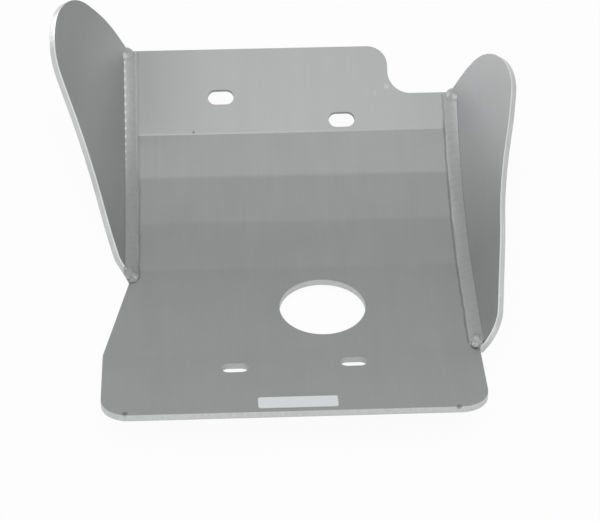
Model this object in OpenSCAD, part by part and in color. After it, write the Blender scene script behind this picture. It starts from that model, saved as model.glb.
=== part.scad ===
// Skid plate for the underside of a motorcycle engine.
// One folded aluminium sheet with two curved side wings welded along its edges.
// The sheet is concave side up and rests on its first rising panel. The origin is the middle of that
// panel's underside. +Y runs from the lip to the raised end and +X is the side of the drain hole.

/* [Sheet] */
// Thickness of the folded sheet
sheet_t = 4; // [3:0.5:6]
// Width of the sheet between its two wings
plate_w = 200; // [160:5:240]
// How far the lip reaches past that width on the left
lip_extra_w = 14; // [0:1:30]
// Inside radius of the bends
bend_r = 18; // [6:1:24]
// Inside radius of the last bend, at the raised end panel
end_bend_r = 6; // [4:1:12]

/* [Panels] */
// Length of the lip, from its front edge to the first bend
lip_len = 60; // [45:1:90]
// Length of the belly panel with the drain hole
belly_len = 76; // [66:1:110]
// Length of the first rising panel
rise_1_len = 37.5; // [28:0.5:50]
// Length of the second rising panel
rise_2_len = 33.5; // [26:0.5:46]
// Length of the third rising panel
rise_3_len = 29.5; // [24:0.5:42]
// Length of the raised end panel
end_len = 54.5; // [44:0.5:80]
// How far the lip is bent up
lip_bend = 7.5; // [2:0.5:15]
// Each of the four bends from the belly to the raised end panel
rise_bend = 9.5; // [6:0.5:11]
// Radius of the lip's two front corners
lip_corner_r = 16; // [6:1:22]

/* [Drain hole] */
// Diameter of the drain hole
drain_d = 50; // [30:1:56]
// Distance of its centre from the middle of the sheet
drain_x = 12.5; // [-30:0.5:30]
// Distance of its centre from the lip's bend
drain_y = 39; // [34:0.5:42]

/* [Bolt slots] */
// Width of each slot, for an M8 bolt
slot_w = 9.5; // [8.5:0.5:11]
// Length of each slot
slot_l = 16; // [12:0.5:20]
// Left slot in the end panel: distance from the middle of the sheet
end_slot_left_x = -43; // [-60:0.5:-30]
// Left slot in the end panel: distance from that panel's bend
end_slot_left_y = 23.5; // [10:0.5:35]
// Right slot in the end panel: distance from the middle of the sheet
end_slot_right_x = 31; // [20:0.5:45]
// Right slot in the end panel: distance from that panel's bend
end_slot_right_y = 7.5; // [7:0.5:30]
// Left slot in the lip: distance from the middle of the sheet
lip_slot_left_x = -39.5; // [-60:0.5:-20]
// Left slot in the lip: distance from the lip's bend
lip_slot_left_y = 15.5; // [9:0.5:30]
// Right slot in the lip: distance from the middle of the sheet
lip_slot_right_x = 27.5; // [15:0.5:60]
// Right slot in the lip: distance from the lip's bend
lip_slot_right_y = 12; // [9:0.5:30]

/* [Notch] */
// Width of the notch in the end panel's right corner
notch_w = 39.5; // [30:0.5:50]
// Depth of the notch
notch_depth = 31; // [27:0.5:36]
// Radius at the bottom of the notch
notch_r = 14; // [6:1:16]
// Radius of the corner beside the notch
end_corner_r = 12.5; // [5:0.5:14]

/* [Wings] */
// Thickness of the wings
wing_t = 4; // [3:0.5:5]
// How far the wings lean outward from upright
wing_lean = 35; // [25:1:42]
// Radius to which each wing is rolled along the sheet's edge
wing_roll_r = 190; // [185:1:200]
// How far the left wing's far end reaches past the belly's second bend
left_wing_reach = 161.5; // [158:0.5:168]
// Height of the left wing's rounded end, up its slope
left_wing_h = 75; // [66:1:84]
// How far past the belly's second bend that rounded end starts
left_wing_top_x = 118; // [112:0.5:124]
// Radius of its near corner
left_wing_top_r = 41; // [30:1:44]
// Radius of its far corner
left_wing_end_r = 26; // [18:1:30]
// How far past the belly's second bend the left wing's neck is
left_wing_neck_x = 69.5; // [62:0.5:76]
// Height of the left wing at its neck
left_wing_neck_h = 26.5; // [24:0.5:30]
// Radius of the hollow at its neck
left_wing_neck_r = 145; // [90:5:160]
// Height of the left wing's near tip
left_wing_tip_h = 7.5; // [6:0.5:9]
// How far the right wing's far end reaches past the belly's second bend
right_wing_reach = 125.5; // [122:0.5:130]
// Height of the right wing's rounded end, up its slope
right_wing_h = 82; // [76:1:88]
// Radius of that rounded end
right_wing_end_r = 24; // [18:1:28]
// How far past the belly's second bend the right wing's low stretch ends
right_wing_neck_x = 40; // [34:0.5:46]
// Height of the right wing's low stretch, up its slope
right_wing_low_h = 30; // [26:1:34]
// Radius of the hollow where that stretch ends
right_wing_neck_r = 115; // [70:5:130]
// Radius of the right wing's near corner
right_wing_near_r = 19; // [14:1:22]
// Distance of the right wing's near end from the lip's bend
right_wing_gap = 5; // [4:0.5:8]

/* [Welds] */
// Width of each weld on the sheet
weld_leg_plate = 5.5; // [3:0.5:8]
// Width of each weld up the wing
weld_leg_wing = 4; // [3:0.5:6]
// Height of the weld's crown above its flat face
weld_crown = 0.6; // [0.2:0.1:1.2]
// Radius of the build-up where a weld ends
weld_end_r = 7.5; // [6:0.5:9]
// Height of that build-up above the corner that it fills
weld_end_h = 3.5; // [2:0.5:5]

/* [Sticker] */
// Length of the sticker
sticker_l = 44; // [30:1:60]
// Width of the sticker
sticker_w = 10.5; // [8:0.5:16]
// Thickness of the sticker
sticker_t = 0.3; // [0.2:0.1:0.6]
// Distance of the sticker's middle from the middle of the sheet
sticker_x = -5.5; // [-30:0.5:30]
// Distance of the sticker from the lip's front edge
sticker_gap = 3; // [1:0.5:12]

/* [Hidden] */

aluminium = [0.62, 0.63, 0.63];
weld_metal = [0.68, 0.69, 0.69];
sticker_white = [0.89, 0.9, 0.9];

$fn = 96;
roll_fn = 480;
over = 1;
far_off = 400;
half_w = plate_w / 2;

// Panels in order from the lip: 0 lip, 1 belly, 2 to 4 rising, 5 raised end.
panel_len = [lip_len, belly_len, rise_1_len, rise_2_len, rise_3_len, end_len];
panel_tilt = [-rise_bend - lip_bend, -rise_bend, 0, rise_bend, 2 * rise_bend, 3 * rise_bend];
lip = 0;
belly = 1;
rest_panel = 2;
end_panel = 5;

// Where the top faces of panels k - 1 and k meet, as [y, z]. The lip has the belly's first bend.
function fold(k) =
    k == rest_panel ? [-rise_1_len / 2, sheet_t] :
    k == lip ? fold(belly) :
    k < rest_panel ? fold(k + 1) - panel_len[k] * heading(k) :
    fold(k - 1) + panel_len[k - 1] * heading(k - 1);
function heading(k) = [cos(panel_tilt[k]), sin(panel_tilt[k])];

// Bend k lies between panels k - 1 and k.
function bend_radius(k) = k == end_panel ? end_bend_r : bend_r;
function bend_angle(k) = panel_tilt[k] - panel_tilt[k - 1];

// The wings roll about one axis, tangent to the belly and to the raised end panel. In the belly's
// frame its start is roll_start from the lip's bend.
belly_to_end = panel_tilt[end_panel] - panel_tilt[belly];
end_bend_from_lip = fold(end_panel) - fold(belly);
end_bend_run = end_bend_from_lip * heading(belly);
end_bend_rise = -(end_bend_from_lip * below(belly));
roll_start = end_bend_run - end_bend_rise / tan(belly_to_end) - wing_roll_r * tan(belly_to_end / 2);

// Sets children in the frame of panel k: y along it from its bend, z = 0 on its top face.
module on_panel(k) {
    translate([0, fold(k)[0], fold(k)[1]])
        rotate([panel_tilt[k], 0, 0])
            children();
}

// What a round of radius r takes off a corner at the origin, with the corner's sides along +x and +y.
module corner_round(r) {
    difference() {
        translate([-over, -over])
            square(r + over);
        translate([r, r])
            circle(r);
    }
}

// What a round of radius r leaves in an inside corner at the origin.
module corner_fill(r) {
    difference() {
        square(r);
        translate([r, r])
            circle(r);
    }
}

// Points along one face of the sheet as [y, z], with each bend as an arc: depth 0 is the top face.
function face_points(depth) = concat(
    [fold(lip) - lip_len * heading(lip) + depth * below(lip)],
    [
        for (k = [1 : end_panel])
            each arc_points(bend_centre(k), bend_radius(k) + depth, panel_tilt[k - 1], panel_tilt[k])
    ],
    [fold(end_panel) + end_len * heading(end_panel) + depth * below(end_panel)]
);
function below(k) = [sin(panel_tilt[k]), -cos(panel_tilt[k])];
function bend_centre(k) =
    let (middle = (panel_tilt[k - 1] + panel_tilt[k]) / 2)
    fold(k) + [-sin(middle), cos(middle)] * bend_radius(k) / cos(bend_angle(k) / 2);
function arc_points(centre, r, from, to) = [
    for (i = [0 : bend_steps])
        let (a = from + (to - from) * i / bend_steps)
        centre + r * [sin(a), -cos(a)]
];
bend_steps = 6;
function reversed(list) = [for (i = [len(list) - 1 : -1 : 0]) list[i]];

module folded_sheet() {
    translate([-half_w - lip_extra_w, 0, 0])
        rotate([90, 0, 90])
            linear_extrude(plate_w + lip_extra_w)
                polygon(concat(face_points(0), reversed(face_points(sheet_t))));
}

// The belly flares from the left wing's near end to the lip's greater width.
module left_side_cut() {
    flare_end = belly_len - left_weld_overrun;
    slope = lip_extra_w / flare_end;
    on_panel(belly)
        translate([0, 0, -far_off / 2])
            linear_extrude(far_off)
                polygon([
                    [-half_w - lip_extra_w - slope * over, -over],
                    [-half_w, flare_end],
                    [-half_w, far_off],
                    [-far_off, far_off],
                    [-far_off, -over],
                ]);
}

// Cuts children out through the thickness of panel k.
module cut_panel(k) {
    on_panel(k)
        translate([0, 0, -sheet_t - over])
            linear_extrude(sheet_t + 2 * over)
                children();
}

module slot(x, y) {
    half_run = (slot_l - slot_w) / 2;
    translate([x, y]) {
        for (side = [-1, 1])
            translate([side * half_run, 0])
                circle(d = slot_w);
        translate([-half_run, -slot_w / 2])
            square([2 * half_run, slot_w]);
    }
}

module lip_corners() {
    translate([-half_w - lip_extra_w, -lip_len])
        corner_round(lip_corner_r);
    translate([half_w, -lip_len])
        mirror([1, 0])
            corner_round(lip_corner_r);
}

module notch() {
    notch_x = half_w - notch_w;
    notch_floor = end_len - notch_depth;
    difference() {
        translate([notch_x, notch_floor])
            square([notch_w + over, notch_depth + over]);
        translate([notch_x, notch_floor])
            corner_fill(notch_r);
    }
    translate([notch_x, end_len])
        rotate(180)
            corner_round(end_corner_r);
}

module main_plate() {
    color(aluminium)
        difference() {
            folded_sheet();
            left_side_cut();
            cut_panel(lip) {
                lip_corners();
                slot(lip_slot_left_x, -lip_slot_left_y);
                slot(lip_slot_right_x, -lip_slot_right_y);
            }
            cut_panel(belly)
                translate([drain_x, drain_y])
                    circle(d = drain_d);
            cut_panel(end_panel) {
                notch();
                slot(end_slot_left_x, end_slot_left_y);
                slot(end_slot_right_x, end_slot_right_y);
            }
        }
}

// Sweeps a section along the right edge: straight on the belly, rolled over the rises, straight on the
// raised end panel. The section's x is across the sheet and its y is up from the sheet's top face.
module sweep_edge(near_l, far_l, section) {
    on_panel(belly)
        translate([0, roll_start, 0]) {
            rotate([90, 0, 0])
                linear_extrude(near_l)
                    polygon(section);
            translate([0, 0, wing_roll_r]) {
                rotate([90, 0, 90])
                    rotate([0, 0, -90])
                        rotate_extrude(angle = belly_to_end, $fn = roll_fn)
                            polygon([for (p = section) [wing_roll_r - p[1], p[0]]]);
                rotate([belly_to_end, 0, 0])
                    translate([0, far_l, -wing_roll_r])
                        rotate([90, 0, 0])
                            linear_extrude(far_l)
                                polygon(section);
            }
        }
}

// Point of the wing's inner face at a height above the sheet.
function wing_face(height) = [half_w + height * tan(wing_lean), height];

module wing_shell() {
    low = -2 * sheet_t;
    high = 70;
    across = [wing_t / cos(wing_lean), 0];
    sweep_edge(120, 90, [
        wing_face(low),
        wing_face(low) + across,
        wing_face(high) + across,
        wing_face(high),
    ]);
}

// Everything below the sheet's top face as far as its edge, and all that is below its bottom face.
module below_sheet() {
    for (k = [1 : end_panel])
        on_panel(k) {
            translate([-far_off, -far_off, -far_off])
                cube([far_off + half_w, 2 * far_off, far_off]);
            translate([-far_off, -far_off, -far_off - sheet_t])
                cube([2 * far_off, 2 * far_off, far_off]);
        }
}

// Points of a closed outline whose corners are [x, y, radius].
function rounded(corners) = [for (i = [0 : len(corners) - 1]) each round_points(corners, i)];
function corner_at(corners, i) = corners[(i + len(corners)) % len(corners)];
function spot(corner) = [corner[0], corner[1]];
function unit(v) = v / norm(v);
function toward(corners, i, step) = unit(spot(corner_at(corners, i + step)) - spot(corner_at(corners, i)));
function half_angle(corners, i) = acos(toward(corners, i, -1) * toward(corners, i, 1)) / 2;
function tangent_run(corners, i) = corner_at(corners, i)[2] / tan(half_angle(corners, i));

// Share of its radius that corner i can have, so that the rounds at both ends of an edge fit on it.
function radius_share(corners, i) = min([
    for (step = [-1, 1])
        let (
            edge = norm(spot(corner_at(corners, i + step)) - spot(corners[i])),
            runs = tangent_run(corners, i) + tangent_run(corners, i + step)
        )
        runs > edge ? edge / runs : 1
]);
function round_points(corners, i) =
    corners[i][2] == 0 ? [spot(corners[i])] :
    let (
        r = corners[i][2] * radius_share(corners, i),
        back = toward(corners, i, -1),
        ahead = toward(corners, i, 1),
        half = half_angle(corners, i),
        centre = spot(corners[i]) + unit(back + ahead) * r / sin(half),
        start = spot(corners[i]) + back * r / tan(half) - centre,
        turn_sign = back[0] * ahead[1] - back[1] * ahead[0] > 0 ? -1 : 1,
        turn = turn_sign * (180 - 2 * half),
        steps = max(2, ceil(abs(turn) / arc_step))
    )
    [
        for (j = [0 : steps])
            let (a = turn * j / steps)
            centre + [start[0] * cos(a) - start[1] * sin(a), start[0] * sin(a) + start[1] * cos(a)]
    ];
arc_step = 5;

// Wing outlines lie flat on the wing's middle slope. Their origin is the sheet's top corner at the
// belly's second bend, x runs toward the raised end and y up the slope. Their feet go below the sheet.
left_foot = 15;
left_wing_pitch = 12.5;
left_wing_corners = [
    [1 - left_foot, -left_foot, 0],
    [5.5, left_wing_tip_h, 8],
    [left_wing_neck_x, left_wing_neck_h, left_wing_neck_r],
    [left_wing_top_x, left_wing_h, left_wing_top_r],
    [left_wing_reach, left_wing_h, left_wing_end_r],
    [left_wing_reach, 2 * left_foot, 70],
    [left_wing_reach - 17, -left_foot, 0],
];
right_foot = 10;
right_wing_pitch = 3.5;
right_near_x = right_wing_gap - belly_len;
right_wing_corners = [
    [right_near_x - 11, -right_foot, 0],
    [right_near_x, right_wing_low_h, right_wing_near_r],
    [right_wing_neck_x, right_wing_low_h + 3, right_wing_neck_r],
    [right_wing_reach, right_wing_h, right_wing_end_r],
    [right_wing_reach, 33, 60],
    [right_wing_reach - 9, -right_foot, 0],
];

module wing(corners, pitch) {
    reach = 45;
    difference() {
        intersection() {
            wing_shell();
            on_panel(rest_panel)
                translate([half_w, 0, 0])
                    rotate([pitch, 0, 0])
                        rotate([0, wing_lean, 0])
                            rotate([90, 0, 90])
                                translate([0, 0, -reach])
                                    linear_extrude(2 * reach)
                                        polygon(rounded(corners));
        }
        below_sheet();
    }
}

module left_wing() {
    color(aluminium)
        mirror([1, 0, 0])
            wing(left_wing_corners, left_wing_pitch);
}

module right_wing() {
    color(aluminium)
        wing(right_wing_corners, right_wing_pitch);
}

// Section of a weld: its toe on the sheet, its crowned face, its toe on the wing.
function weld_section() =
    let (
        plate_toe = [half_w - weld_leg_plate, 0],
        wing_toe = wing_face(weld_leg_wing * cos(wing_lean)),
        run = wing_toe - plate_toe,
        out = unit([-run[1], run[0]])
    )
    concat(
        [[plate_toe[0], -sheet_t / 2]],
        [for (i = [0 : 6]) plate_toe + run * i / 6 + out * weld_crown * sqrt(max(0.05, sin(30 * i)))],
        [wing_face(-sheet_t / 2)]
    );

left_weld_overrun = 12;
right_weld_end = 4;

// A weld on the right edge, from near_y on the belly to far_y on the raised end panel.
module weld(near_y, far_y) {
    difference() {
        union() {
            difference() {
                sweep_edge(120, 90, weld_section());
                on_panel(belly)
                    translate([0, near_y - far_off, -far_off])
                        cube([far_off, far_off, 2 * far_off]);
                on_panel(end_panel)
                    translate([0, far_y, -far_off])
                        cube([far_off, far_off, 2 * far_off]);
            }
            on_panel(belly)
                weld_end(near_y);
            on_panel(end_panel)
                weld_end(far_y);
        }
        below_sheet();
        outside_wing_face();
    }
}

// The middle of the corner between the sheet and the wing leans this far back from upright.
corner_mid = (90 - wing_lean) / 2;
module weld_end(y) {
    sink = weld_end_r - weld_end_h;
    translate([half_w + sink * sin(corner_mid), y, -sink * cos(corner_mid)])
        sphere(r = weld_end_r);
}

// All that lies on the wing's side of its inner face.
module outside_wing_face() {
    low = -2 * sheet_t;
    high = 30;
    sweep_edge(140, 110, [
        wing_face(low),
        [half_w + 60, low],
        [half_w + 60, high],
        wing_face(high),
    ]);
}

module left_weld() {
    color(weld_metal)
        mirror([1, 0, 0])
            weld(belly_len - left_weld_overrun + weld_end_r, end_len - weld_end_r / 2);
}

module right_weld() {
    color(weld_metal)
        weld(right_weld_end, end_len - notch_depth - weld_end_r / 2);
}

module sticker() {
    round_r = 1.5;
    color(sticker_white)
        on_panel(lip)
            translate([sticker_x - sticker_l / 2, sticker_gap - lip_len, 0])
                linear_extrude(sticker_t)
                    difference() {
                        square([sticker_l, sticker_w]);
                        corner_round(round_r);
                        translate([sticker_l, 0])
                            rotate(90)
                                corner_round(round_r);
                        translate([sticker_l, sticker_w])
                            rotate(180)
                                corner_round(round_r);
                        translate([0, sticker_w])
                            rotate(-90)
                                corner_round(round_r);
                    }
}

main_plate();
left_wing();
right_wing();
left_weld();
right_weld();
sticker();
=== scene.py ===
"""Motorcycle skid plate: the finishes of its metal, welds and sticker, its studio stage and its camera."""

import math

import bmesh
import bpy
from bpy.props import FloatProperty, FloatVectorProperty, PointerProperty
from mathutils import Euler, Matrix, Vector, noise


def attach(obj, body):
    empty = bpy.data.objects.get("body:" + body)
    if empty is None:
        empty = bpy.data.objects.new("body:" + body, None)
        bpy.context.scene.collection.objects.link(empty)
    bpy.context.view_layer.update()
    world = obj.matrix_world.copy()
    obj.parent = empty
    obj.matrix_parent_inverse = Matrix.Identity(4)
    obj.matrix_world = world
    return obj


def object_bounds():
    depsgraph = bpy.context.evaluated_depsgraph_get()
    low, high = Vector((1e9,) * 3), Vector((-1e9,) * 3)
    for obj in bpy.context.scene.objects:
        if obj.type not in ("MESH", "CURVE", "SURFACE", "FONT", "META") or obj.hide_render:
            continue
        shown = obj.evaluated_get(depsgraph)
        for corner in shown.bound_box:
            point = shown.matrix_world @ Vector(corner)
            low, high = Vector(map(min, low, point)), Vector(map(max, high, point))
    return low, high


bl_info = {
    "name": "Motorcycle skid plate",
    "version": (1, 0, 0),
    "blender": (4, 5, 0),
    "location": "View3D > Sidebar > Skid plate",
    "description": "Dresses the skid plate and sets its studio stage",
    "category": "Object",
}

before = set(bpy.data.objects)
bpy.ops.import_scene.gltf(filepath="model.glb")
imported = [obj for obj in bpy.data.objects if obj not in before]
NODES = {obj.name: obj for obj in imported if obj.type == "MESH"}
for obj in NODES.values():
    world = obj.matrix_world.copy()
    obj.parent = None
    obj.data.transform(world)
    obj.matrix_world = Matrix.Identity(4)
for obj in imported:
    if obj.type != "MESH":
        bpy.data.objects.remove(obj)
CAD_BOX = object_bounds()


def mm(*values):
    return tuple(0.001 * v for v in values)


LEFT, RIGHT = -1, 1
SIDE_NAMES = {LEFT: "left", RIGHT: "right"}

# The wings lean this far out from upright. They are rolled about an axis along X, over this arc, and
# their inner faces meet the sheet's top face at its edges.
WING_LEAN = math.radians(35)
HALF_WIDTH = 0.1
ROLL_RADIUS = 0.190
ROLL_CENTER = (0.00202, 0.19317)
ROLL_ARC = (math.radians(-9.5), math.radians(28.5))

# A point on the top face of each panel of the sheet, as Y and Z, and the panel's tilt in degrees.
PANELS = (
    (mm(-93.71, 16.54), -17),
    (mm(-93.71, 16.54), -9.5),
    (mm(-18.75, 4), 0),
    (mm(18.75, 4), 9.5),
    (mm(51.79, 9.53), 19),
    (mm(79.68, 19.13), 28.5),
)
BELLY_TILT = -9.5
END_FOLD_Y = 0.0797
SHEET_THICKNESS = 0.004

# Distances from the middle plane to lines along the welds, and each weld's ends along Y.
TOE_X = 0.0939
CREST_X = 0.0951
BEAD_X = 0.1013
WELD_MIDDLE_X = 0.0975
WELD_RUN = {LEFT: (-0.026, 0.129), RIGHT: (-0.092, 0.101)}
WELD_SLOPE = (math.pi / 2 - WING_LEAN) / 2
BEAD_PITCH = 0.0047

WHITE = (1.0, 1.0, 1.0)
GLINT = (0.95, 0.95, 0.95)
DARK_SEAM = (0.10, 0.10, 0.10)
DARK_PIT = (0.12, 0.12, 0.12)
SCRAPED = (0.62, 0.63, 0.63)
FUSED_METAL = (0.42, 0.428, 0.43)

# Where the small marks are.
SCUFF = mm(59.6, 104.6, 32.6)
FAINT_SCUFF = mm(52, 101, 30.7)
LEFT_NICK = mm(-100.4, -149.6, 33.4)
RIGHT_NICK = mm(82.4, -151, 33.8)
SHEET_FLECK = mm(-60.3, 80.7, 19.7)
LEFT_WING_PIT = mm(-141.5, 117.5, 77.4)
RIGHT_WING_PITS = mm(123.2, 19, 30.6), mm(122.9, 14.5, 30.2)

# The lumps at the welds' near ends: middle, half sizes across, along and through, and waviness.
LUMPS = {
    "left_near_lump": (mm(-98.6, -22.0, 5.9), mm(5.0, 6.8, 2.0), 0.34),
    "right_near_lump": (mm(98.6, -90.2, 17.3), mm(4.5, 5.4, 1.9), 0.30),
}

FLOOR_GAP = 0.0005
HORIZON_LEVEL = 0.95
SOFTBOX_PLACE, SOFTBOX_SIDES = (0.05, -0.42, 1.35), (1.3, 0.9)
SIDE_LIGHT_PLACE, SIDE_LIGHT_SIDES = (-1.2, 0.75, 0.45), (1.0, 0.8)
LIGHTS_AIM = Vector((0, 0.05, 0))


class SkidPlateMetal(bpy.types.PropertyGroup):
    sheet_color: FloatVectorProperty(
        name="Sheet colour",
        description="Colour of the rolled aluminium sheet",
        subtype="COLOR",
        size=3,
        min=0,
        max=1,
        default=(0.395, 0.405, 0.407),
    )
    sheet_roughness: FloatProperty(
        name="Sheet roughness",
        description="How dull the rolled face is",
        min=0,
        max=1,
        default=0.44,
    )
    cut_color: FloatVectorProperty(
        name="Cut edge colour",
        description="Colour of the ground edges of the wings and the sheet",
        subtype="COLOR",
        size=3,
        min=0,
        max=1,
        default=(0.77, 0.78, 0.78),
    )
    streak_width: FloatProperty(
        name="Streak width",
        description="Width of the rolling streaks that run from the lip to the raised end",
        subtype="DISTANCE",
        unit="LENGTH",
        min=0.0005,
        max=0.01,
        default=0.0016,
    )


class SkidPlateWelds(bpy.types.PropertyGroup):
    bead_color: FloatVectorProperty(
        name="Bead colour",
        description="Colour of the weld metal",
        subtype="COLOR",
        size=3,
        min=0,
        max=1,
        default=(0.415, 0.423, 0.425),
    )
    ripple_pitch: FloatProperty(
        name="Ripple pitch",
        description="Distance from one ripple of the bead to the next",
        subtype="DISTANCE",
        unit="LENGTH",
        min=0.001,
        max=0.01,
        default=0.0048,
    )
    ripple_depth: FloatProperty(
        name="Ripple depth",
        description="Height of the ripples",
        subtype="DISTANCE",
        unit="LENGTH",
        min=0,
        max=0.002,
        default=0.0005,
    )


class SkidPlateSticker(bpy.types.PropertyGroup):
    film_color: FloatVectorProperty(
        name="Film colour",
        description="Colour of the bare sticker",
        subtype="COLOR",
        size=3,
        min=0,
        max=1,
        default=(0.76, 0.79, 0.79),
    )


class SkidPlateStage(bpy.types.PropertyGroup):
    floor_size: FloatProperty(
        name="Floor size",
        description="Side of the square studio floor",
        subtype="DISTANCE",
        unit="LENGTH",
        min=2,
        max=40,
        default=16,
    )
    room_level: FloatProperty(
        name="Room level",
        description="Brightness of the studio room above the horizon",
        min=0,
        max=2,
        default=0.60,
    )
    side_power: FloatProperty(
        name="Side light power",
        description="Power of the soft light at the far left",
        subtype="POWER",
        unit="POWER",
        min=0,
        max=100,
        default=3.6,
    )
    softbox_power: FloatProperty(
        name="Softbox power",
        description="Power of the softbox above the raised end",
        subtype="POWER",
        unit="POWER",
        min=0,
        max=100,
        default=4.5,
    )
    camera_place: FloatVectorProperty(
        name="Camera place",
        description="Where the camera stands",
        subtype="TRANSLATION",
        unit="LENGTH",
        size=3,
        default=(-0.050598, -0.973860, 1.064698),
    )
    camera_turn: FloatVectorProperty(
        name="Camera turn",
        description="How the camera is turned",
        subtype="EULER",
        size=3,
        default=(math.radians(42.20196), math.radians(-0.58881), math.radians(-2.44329)),
    )
    camera_lens: FloatProperty(
        name="Focal length",
        description="Focal length of the camera on a 36 mm wide sensor, in millimetres",
        subtype="DISTANCE_CAMERA",
        min=20,
        max=400,
        default=144.7056,
    )


class Value:
    """A number socket of a material, so that its shader maths is written as Python."""

    def __init__(self, finish, socket):
        self.finish = finish
        self.socket = socket

    def _math(self, operation, *values):
        return self.finish.node("ShaderNodeMath", {"operation": operation}, dict(enumerate(values)))

    def __add__(self, other):
        return self._math("ADD", self, other)

    def __radd__(self, other):
        return self._math("ADD", other, self)

    def __sub__(self, other):
        return self._math("SUBTRACT", self, other)

    def __rsub__(self, other):
        return self._math("SUBTRACT", other, self)

    def __mul__(self, other):
        return self._math("MULTIPLY", self, other)

    def __rmul__(self, other):
        return self._math("MULTIPLY", other, self)

    def __truediv__(self, other):
        return self._math("DIVIDE", self, other)

    def __rtruediv__(self, other):
        return self._math("DIVIDE", other, self)

    def __pow__(self, other):
        return self._math("POWER", self, other)

    def __abs__(self):
        return self._math("ABSOLUTE", self)

    def sine(self):
        return self._math("SINE", self)

    def cosine(self):
        return self._math("COSINE", self)

    def angle_from(self, other):
        return self._math("ARCTAN2", self, other)

    def larger(self, other):
        return self._math("MAXIMUM", self, other)

    def smaller(self, other):
        return self._math("MINIMUM", self, other)

    def ramp(self, low, high):
        """0 below low, 1 above high, and smooth between; low may be the larger."""
        return self.finish.node(
            "ShaderNodeMapRange",
            {"interpolation_type": "SMOOTHSTEP"},
            {"Value": self, "From Min": low, "From Max": high},
        )


class Nodes:
    """A node tree under construction, whose nodes all come from one method."""

    def __init__(self, tree):
        self.tree = tree
        tree.nodes.clear()

    def node(self, kind, settings, inputs, output=0):
        made = self.tree.nodes.new(kind)
        for name, setting in settings.items():
            setattr(made, name, setting)
        for name, value in inputs.items():
            if isinstance(value, Value):
                self.tree.links.new(value.socket, made.inputs[name])
            else:
                made.inputs[name].default_value = value
        return Value(self, made.outputs[output]) if made.outputs else None

    def parts(self, vector):
        split = self.node("ShaderNodeSeparateXYZ", {}, {"Vector": vector})
        outputs = split.socket.node.outputs
        return [Value(self, outputs[i]) for i in range(3)]


class Finish(Nodes):
    """A material of a piece under construction."""

    def __init__(self, name):
        self.material = bpy.data.materials.new(name)
        self.material.use_nodes = True
        super().__init__(self.material.node_tree)
        self.place = self.node("ShaderNodeTexCoord", {}, {}, "Object")
        self.x, self.y, self.z = self.parts(self.place)

    def vector(self, x, y, z):
        return self.node("ShaderNodeCombineXYZ", {}, {"X": x, "Y": y, "Z": z})

    def noise(self, scale, detail, roughness, stretch=(1, 1, 1)):
        """Noise from 0 to 1. The scale is in features a metre, and stretch lengthens them."""
        spread = tuple(scale / s for s in stretch)
        spot = self.node(
            "ShaderNodeVectorMath", {"operation": "MULTIPLY"}, {0: self.place, 1: spread}, "Vector"
        )
        return self.node(
            "ShaderNodeTexNoise",
            {"noise_dimensions": "3D"},
            {"Vector": spot, "Scale": 1.0, "Detail": detail, "Roughness": roughness},
        )

    def mix(self, amount, first, second):
        def color(c):
            return c if isinstance(c, Value) else (*c, 1.0)

        return self.node(
            "ShaderNodeMix",
            {"data_type": "RGBA", "clamp_factor": True},
            {0: amount, 6: color(first), 7: color(second)},
            2,
        )

    def shade(self, color, level):
        """The colour times a level, which may be over 1."""
        grey = self.vector(level, level, level)
        return self.node(
            "ShaderNodeVectorMath", {"operation": "MULTIPLY"}, {0: color, 1: grey}, "Vector"
        )

    def bump(self, height, depth):
        return self.node("ShaderNodeBump", {}, {"Height": height, "Strength": 1.0, "Distance": depth})

    def spot(self, center, radius, soft=0.5):
        """1 inside a round mark and 0 outside it."""
        away = self.node(
            "ShaderNodeVectorMath", {"operation": "DISTANCE"}, {0: self.place, 1: center}, "Value"
        )
        return away.ramp(radius, radius * (1 - soft))

    def surface(self, base, roughness, normal, metallic=0.62):
        shader = self.node(
            "ShaderNodeBsdfPrincipled",
            {},
            {"Base Color": base, "Roughness": roughness, "Normal": normal, "Metallic": metallic},
        )
        self.node("ShaderNodeOutputMaterial", {}, {"Surface": shader})
        return self.material


def rolled_sheet(finish, settings):
    """Colour, roughness and height of rolled sheet: long streaks, soft clouds and a fine grain."""
    wide = 1 / settings.streak_width
    streaks = finish.noise(wide, 4, 0.6, stretch=(1, 26, 26))
    bands = finish.noise(wide / 7, 2, 0.5, stretch=(1, 9, 9))
    clouds = finish.noise(38, 3, 0.6)
    grain = finish.noise(1500, 2, 0.6)
    level = 1 + (streaks - 0.5) * 0.09 + (bands - 0.5) * 0.06 + (clouds - 0.5) * 0.09
    level = level + (grain - 0.5) * 0.05
    base = finish.shade((*settings.sheet_color,), level)
    roughness = settings.sheet_roughness + (streaks - 0.5) * 0.10 + (clouds - 0.5) * 0.10
    height = streaks * 0.7 + grain * 0.3
    return base, roughness, height


def weld_run(finish, side):
    """1 along the weld of that side and 0 past its ends."""
    near, far = WELD_RUN[side]
    fade = 0.003
    return finish.y.ramp(near, near + fade) * finish.y.ramp(far, far - fade)


def toe_line(finish, side):
    """How dark the wandering line is where a weld's toe meets the sheet."""
    wander = (finish.noise(120, 4, 0.65) - 0.5) * 0.0019
    line = abs(finish.x * side - TOE_X + wander).ramp(0.0010, 0.0002)
    strength = 0.42 + (finish.noise(60, 2, 0.5) - 0.5) * 0.5
    if side == LEFT:
        strength = strength * (1 - finish.y.ramp(0.03, 0.06) * 0.55)
    return line * strength * weld_run(finish, side)


def painted_sheet_light(finish):
    """Painted light and shade on the sheet: it is painted brighter toward the raised end, and painted
    darker at that end's sides, most at the left.
    """
    rising = finish.y.ramp(-0.01, 0.05)
    far = finish.y.ramp(0.066, 0.092)
    left = finish.x.ramp(-0.042, -0.1) * far
    right = finish.x.ramp(0.05, 0.1) * far
    return 0.98 + rising * 0.07 + far * 0.02 - left * 0.17 - right * 0.05


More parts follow.
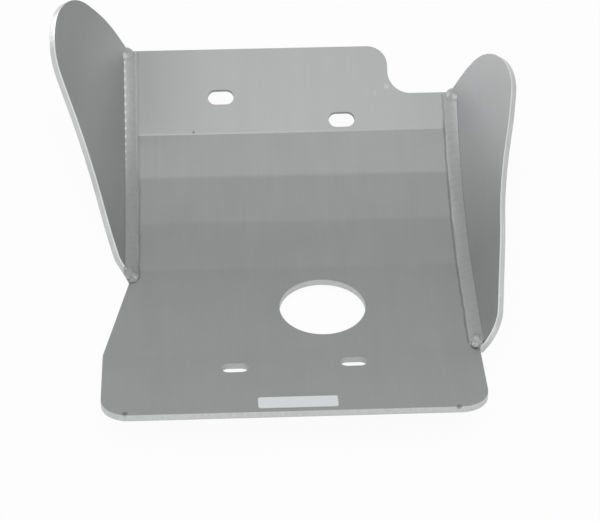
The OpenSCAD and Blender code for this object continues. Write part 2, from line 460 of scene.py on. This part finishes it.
def between_faces(depth, sure_out, sure_in):
    """1 on the cut walls, which lie between a sheet's two faces."""
    under_top = depth.ramp(sure_out, sure_in)
    return under_top * depth.ramp(SHEET_THICKNESS - sure_out, SHEET_THICKNESS - sure_in)


def sheet_depth(finish):
    """How deep a point lies in the folded sheet, from 0 on its top face."""
    depth = None
    for (start_y, start_z), tilt in PANELS:
        lean = math.radians(tilt)
        under = (finish.y - start_y) * math.sin(lean) - (finish.z - start_z) * math.cos(lean)
        depth = under if depth is None else depth.larger(under)
    return depth


def cut_walls(finish):
    """1 on the sheet's side edges and on the walls of its lip and its near holes."""
    near = finish.y.ramp(0.07, 0.06)
    side = abs(finish.x).ramp(HALF_WIDTH - 0.001, HALF_WIDTH - 0.0005)
    return between_faces(sheet_depth(finish), 0.00008, 0.0003) * near.larger(side)


def sheet_finish(settings):
    finish = Finish("skid_plate_rolled_sheet")
    base, roughness, height = rolled_sheet(finish, settings)
    # Painted light and shade: brighter toward the raised end, darker at that end's sides.
    base = finish.shade(base, painted_sheet_light(finish))
    # Painted highlight: a thin bright line along the end fold, strongest at the left.
    painted_fold_highlight = abs(finish.y - END_FOLD_Y).ramp(0.0007, 0.0002) * finish.x.ramp(0.09, -0.03)
    base = finish.mix(painted_fold_highlight * 0.16, base, WHITE)
    for side in (LEFT, RIGHT):
        fused = (finish.x * side).ramp(TOE_X, TOE_X + 0.0004) * weld_run(finish, side)
        base = finish.mix(fused, base, FUSED_METAL)
        base = finish.mix(toe_line(finish, side), base, DARK_SEAM)

    cut = cut_walls(finish)
    shear = finish.noise(900, 3, 0.6, stretch=(1, 1, 4))
    cut_base = finish.shade((*settings.cut_color,), 0.84 + (shear - 0.5) * 0.3)
    base = finish.mix(cut, base, cut_base)

    scuff = finish.spot(SCUFF, 0.0022).larger(finish.spot(FAINT_SCUFF, 0.0016) * 0.5)
    nick = finish.spot(LEFT_NICK, 0.0022, 0.6).larger(finish.spot(RIGHT_NICK, 0.0020, 0.6))
    fleck = finish.spot(SHEET_FLECK, 0.0012, 0.7)
    base = finish.mix(scuff * 0.4, base, SCRAPED)
    base = finish.mix(nick.larger(fleck) * 0.6, base, DARK_SEAM)
    normal = finish.bump(height - nick * 6, 0.00002)
    return finish.surface(base, roughness - cut * 0.06, normal)


def wing_depth(finish):
    """How deep a point lies in its wing, from 0 on the inner face."""
    ahead = finish.y - ROLL_CENTER[0]
    under = ROLL_CENTER[1] - finish.z
    turn = ahead.angle_from(under).larger(ROLL_ARC[0]).smaller(ROLL_ARC[1])
    height = ROLL_RADIUS - (ahead * turn.sine() + under * turn.cosine())
    return (abs(finish.x) - HALF_WIDTH) * math.cos(WING_LEAN) - height * math.sin(WING_LEAN)


def wing_finish(settings, side):
    finish = Finish(f"skid_plate_{SIDE_NAMES[side]}_wing")
    base, roughness, height = rolled_sheet(finish, settings)
    # Painted light and shade on the inner face: the left wing darker toward its top and its near end, the
    # right wing brighter toward its far end.
    if side == LEFT:
        painted_wing_light = 1.05 - finish.z.ramp(0.04, 0.085) * 0.27 - finish.y.ramp(0.04, -0.01) * 0.10
        pits = finish.spot(LEFT_WING_PIT, 0.0016, 0.7)
    else:
        painted_wing_light = 0.83 + finish.y.ramp(-0.02, 0.09) * 0.28
        pit, other_pit = (finish.spot(place, 0.0012, 0.6) for place in RIGHT_WING_PITS)
        pits = pit.larger(other_pit)
    base = finish.shade(base, painted_wing_light)

    depth = wing_depth(finish)
    rim = between_faces(depth, 0.00006, 0.0002)
    grind = finish.noise(260, 3, 0.6, stretch=(1, 5, 5))
    fleck = finish.noise(520, 2, 0.5, stretch=(1, 2, 2))
    # The rim's ground metal is pale, and it has a painted highlight along its edge at the inner face.
    bright = depth.ramp(0.0014, 0.0008) * 0.26 + 0.86
    rim_base = finish.shade((*settings.cut_color,), bright + (grind - 0.5) * 0.22)
    base = finish.mix(rim, base, rim_base)
    base = finish.mix(rim * fleck.ramp(0.66, 0.74) * 0.5, base, WHITE)
    base = finish.mix(pits * 0.7, base, DARK_PIT)
    normal = finish.bump(height + rim * grind * 2, 0.00003)
    return finish.surface(base, roughness - rim * 0.08, normal)


def weld_glints(finish, off_middle, satin, wander):
    """Painted highlights: bright dots on the beads and a bright line on the crest, along the left weld's
    far part.
    """
    bead = (finish.y / BEAD_PITCH * (2 * math.pi)).sine().ramp(0.1, 0.8)
    bead = bead * (off_middle - BEAD_X).ramp(-0.0003, 0.0003) * finish.y.ramp(0.035, 0.085)
    crest = abs(off_middle - CREST_X + wander * 0.001).ramp(0.0007, 0.0001)
    crest = crest * finish.y.ramp(0.045, 0.075) * (0.5 + satin)
    return bead * 0.42 + crest * 0.24


def weld_finish(settings, side):
    finish = Finish(f"skid_plate_{SIDE_NAMES[side]}_weld")
    off_middle = finish.x * side
    wander = finish.noise(90, 2, 0.5) - 0.5
    along = finish.y * 1.06 + wander * 0.004
    across = (off_middle - WELD_MIDDLE_X) * 190
    phase = (along / settings.ripple_pitch + across * across * 0.18) * (2 * math.pi)
    ripple = (phase.sine() * 0.5 + 0.5) ** 0.6
    satin = finish.noise(300, 4, 0.6)
    grain = finish.noise(1600, 2, 0.6)
    level = 0.95 + (ripple - 0.5) * 0.03 + (satin - 0.5) * 0.22 + (grain - 0.5) * 0.10
    # Painted light: the weld is painted brighter toward the raised end.
    level = level + finish.y.ramp(0.03, 0.1) * 0.20
    base = finish.shade((*settings.bead_color,), level)
    base = finish.mix(toe_line(finish, side), base, DARK_SEAM)
    if side == LEFT:
        # Painted highlights on the left weld's beads and crest.
        base = finish.mix(weld_glints(finish, off_middle, satin, wander), base, GLINT)
    height = ripple * 0.10 + satin * 0.35 + grain * 0.08
    normal = finish.bump(height, settings.ripple_depth)
    return finish.surface(base, 0.42 + (satin - 0.5) * 0.2, normal)


def sticker_finish(settings):
    finish = Finish("skid_plate_sticker_film")
    paper = finish.noise(900, 3, 0.5)
    smudge = finish.noise(70, 2, 0.5)
    base = finish.shade((*settings.film_color,), 0.98 + (smudge - 0.5) * 0.06 + (paper - 0.5) * 0.03)
    normal = finish.bump(paper, 0.00001)
    return finish.surface(base, 0.46 + (smudge - 0.5) * 0.1, normal, metallic=0.0)


def dress(name, material):
    slots = NODES[name].data.materials
    slots.clear()
    slots.append(material)


class SKIDPLATE_OT_dress_sheet(bpy.types.Operator):
    """Give the folded sheet its rolled finish, painted light and shade, a painted highlight on its end
    fold, cut edges and small marks
    """

    bl_idname = "skidplate.dress_sheet"
    bl_label = "Dress the sheet"

    def execute(self, context):
        dress("main_plate", sheet_finish(context.scene.skid_metal))
        return {"FINISHED"}


class SKIDPLATE_OT_dress_wings(bpy.types.Operator):
    """Give the two wings their rolled faces with painted light and shade, and bright ground rims with a
    painted highlight
    """

    bl_idname = "skidplate.dress_wings"
    bl_label = "Dress the wings"

    def execute(self, context):
        dress("left_wing", wing_finish(context.scene.skid_metal, LEFT))
        dress("right_wing", wing_finish(context.scene.skid_metal, RIGHT))
        return {"FINISHED"}


class SKIDPLATE_OT_dress_welds(bpy.types.Operator):
    """Give the two fillet welds their ripples and dark toes, with painted light and highlights"""

    bl_idname = "skidplate.dress_welds"
    bl_label = "Dress the welds"

    def execute(self, context):
        dress("left_weld", weld_finish(context.scene.skid_welds, LEFT))
        dress("right_weld", weld_finish(context.scene.skid_welds, RIGHT))
        return {"FINISHED"}


def mesh_object(name, shape, material):
    bmesh.ops.recalc_face_normals(shape, faces=shape.faces)
    mesh = bpy.data.meshes.new(name)
    shape.to_mesh(mesh)
    shape.free()
    mesh.materials.append(material)
    piece = bpy.data.objects.new(name, mesh)
    bpy.context.scene.collection.objects.link(piece)
    return piece


def lump_finish(settings):
    finish = Finish("skid_plate_weld_lump")
    swirl = finish.noise(420, 3, 0.6)
    grain = finish.noise(1600, 2, 0.6)
    level = 1.06 + (swirl - 0.5) * 0.35 + (grain - 0.5) * 0.10
    base = finish.shade((*settings.bead_color,), level)
    normal = finish.bump(swirl * 0.5 + grain * 0.1, settings.ripple_depth)
    return finish.surface(base, 0.40 + (swirl - 0.5) * 0.2, normal)


def weld_lump(name, place, sides, swirl, material):
    """A flattened, slightly wavy lump of metal on a weld's face over the belly."""
    shape = bmesh.new()
    bmesh.ops.create_icosphere(shape, subdivisions=4, radius=1)
    slope = math.copysign(WELD_SLOPE, -place[0])
    turn = Matrix.Rotation(math.radians(BELLY_TILT), 3, "X") @ Matrix.Rotation(slope, 3, "Y")
    for vert in shape.verts:
        way = vert.co.copy()
        wave = noise.noise(way * 1.7 + Vector(place) * 40) + 0.4 * noise.noise(way * 4)
        reach = Vector([side * step * (1 + swirl * wave) for side, step in zip(sides, way)])
        vert.co = Vector(place) + turn @ reach
    for face in shape.faces:
        face.smooth = True
    piece = mesh_object(name, shape, material)
    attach(piece, "root")


class SKIDPLATE_OT_end_welds(bpy.types.Operator):
    """Lay the lumps of metal where the welder stopped at the welds' ends"""

    bl_idname = "skidplate.end_welds"
    bl_label = "End the welds"

    def execute(self, context):
        metal = lump_finish(context.scene.skid_welds)
        for name, (place, sides, swirl) in LUMPS.items():
            weld_lump(name, place, sides, swirl, metal)
        return {"FINISHED"}


class SKIDPLATE_OT_dress_sticker(bpy.types.Operator):
    """Give the bare sticker its pale matt film"""

    bl_idname = "skidplate.dress_sticker"
    bl_label = "Dress the sticker"

    def execute(self, context):
        dress("sticker", sticker_finish(context.scene.skid_sticker))
        return {"FINISHED"}


def floor_material():
    material = bpy.data.materials.new("studio_floor")
    material.use_nodes = True
    floor = Nodes(material.node_tree)
    paint = floor.node("ShaderNodeBsdfDiffuse", {}, {"Color": (0.9, 0.9, 0.9, 1), "Roughness": 1.0})
    glow = floor.node("ShaderNodeEmission", {}, {"Color": (1, 1, 1, 1), "Strength": 1.0})
    seen = floor.node("ShaderNodeLightPath", {}, {}, "Is Camera Ray")
    mirrored = floor.node("ShaderNodeLightPath", {}, {}, "Is Glossy Ray")
    through = floor.node("ShaderNodeLightPath", {}, {}, "Is Transmission Ray")
    amount = seen.larger(mirrored * 0.4).larger(through) * 0.94
    blend = floor.node("ShaderNodeMixShader", {}, {0: amount, 1: paint, 2: glow})
    floor.node("ShaderNodeOutputMaterial", {}, {"Surface": blend})
    return material


def studio_room(level):
    """White to the camera and at the horizon, and plain grey light from above."""
    world = bpy.data.worlds.new("studio_room")
    world.use_nodes = True
    room = Nodes(world.node_tree)
    height = room.parts(room.node("ShaderNodeTexCoord", {}, {}, "Generated"))[2]
    light = room.node(
        "ShaderNodeMapRange",
        {"interpolation_type": "SMOOTHSTEP"},
        {
            "Value": height,
            "From Min": 0.05,
            "From Max": 0.45,
            "To Min": HORIZON_LEVEL,
            "To Max": level,
        },
    )
    seen = room.node("ShaderNodeLightPath", {}, {}, "Is Camera Ray")
    strength = light.larger(seen)
    back = room.node("ShaderNodeBackground", {}, {"Color": (1, 1, 1, 1), "Strength": strength})
    room.node("ShaderNodeOutputWorld", {}, {"Surface": back})
    return world


def soft_light(name, place, sides, power):
    lamp = bpy.data.lights.new(name, "AREA")
    lamp.shape = "RECTANGLE"
    lamp.size, lamp.size_y = sides
    lamp.energy = power
    light = bpy.data.objects.new(name, lamp)
    light.location = place
    aim = LIGHTS_AIM - light.location
    light.rotation_euler = aim.to_track_quat("-Z", "Y").to_euler()
    bpy.context.scene.collection.objects.link(light)


class SKIDPLATE_OT_set_stage(bpy.types.Operator):
    """Lay the studio floor, light the plate softly and place the camera"""

    bl_idname = "skidplate.set_stage"
    bl_label = "Set the stage"

    def execute(self, context):
        settings = context.scene.skid_stage
        shape = bmesh.new()
        bmesh.ops.create_grid(shape, x_segments=1, y_segments=1, size=settings.floor_size / 2)
        bmesh.ops.translate(shape, verts=shape.verts, vec=(0, 0, CAD_BOX[0].z - FLOOR_GAP))
        floor = mesh_object("studio_floor", shape, floor_material())

        soft_light("softbox", SOFTBOX_PLACE, SOFTBOX_SIDES, settings.softbox_power)
        soft_light("side_light", SIDE_LIGHT_PLACE, SIDE_LIGHT_SIDES, settings.side_power)

        context.scene.world = studio_room(settings.room_level)
        context.scene.view_settings.view_transform = "Standard"

        eye = bpy.data.cameras.new("camera")
        eye.sensor_fit = "HORIZONTAL"
        eye.sensor_width = 36
        eye.lens = settings.camera_lens
        eye.clip_start = 0.05
        eye.clip_end = 60
        camera = bpy.data.objects.new("camera", eye)
        camera.location = settings.camera_place
        camera.rotation_euler = Euler(settings.camera_turn, "XYZ")
        context.scene.collection.objects.link(camera)
        context.scene.camera = camera
        return {"FINISHED"}


class SKIDPLATE_PT_panel(bpy.types.Panel):
    bl_idname = "SKIDPLATE_PT_panel"
    bl_label = "Skid plate"
    bl_space_type = "VIEW_3D"
    bl_region_type = "UI"
    bl_category = "Skid plate"

    def draw(self, context):
        for settings in (
            context.scene.skid_metal,
            context.scene.skid_welds,
            context.scene.skid_sticker,
            context.scene.skid_stage,
        ):
            box = self.layout.box()
            for name in settings.__annotations__:
                box.prop(settings, name)
        for operator in OPERATORS:
            self.layout.operator(operator.bl_idname)


GROUPS = {
    "skid_metal": SkidPlateMetal,
    "skid_welds": SkidPlateWelds,
    "skid_sticker": SkidPlateSticker,
    "skid_stage": SkidPlateStage,
}
OPERATORS = (
    SKIDPLATE_OT_dress_sheet,
    SKIDPLATE_OT_dress_wings,
    SKIDPLATE_OT_dress_welds,
    SKIDPLATE_OT_end_welds,
    SKIDPLATE_OT_dress_sticker,
    SKIDPLATE_OT_set_stage,
)
CLASSES = (*GROUPS.values(), *OPERATORS, SKIDPLATE_PT_panel)


def register():
    for cls in CLASSES:
        bpy.utils.register_class(cls)
    for name, group in GROUPS.items():
        setattr(bpy.types.Scene, name, PointerProperty(type=group))


def unregister():
    for name in GROUPS:
        delattr(bpy.types.Scene, name)
    for cls in reversed(CLASSES):
        bpy.utils.unregister_class(cls)


def main():
    register()
    bpy.ops.skidplate.dress_sheet()
    bpy.ops.skidplate.dress_wings()
    bpy.ops.skidplate.dress_welds()
    bpy.ops.skidplate.end_welds()
    bpy.ops.skidplate.dress_sticker()
    bpy.ops.skidplate.set_stage()


if __name__ == "__main__":
    main()
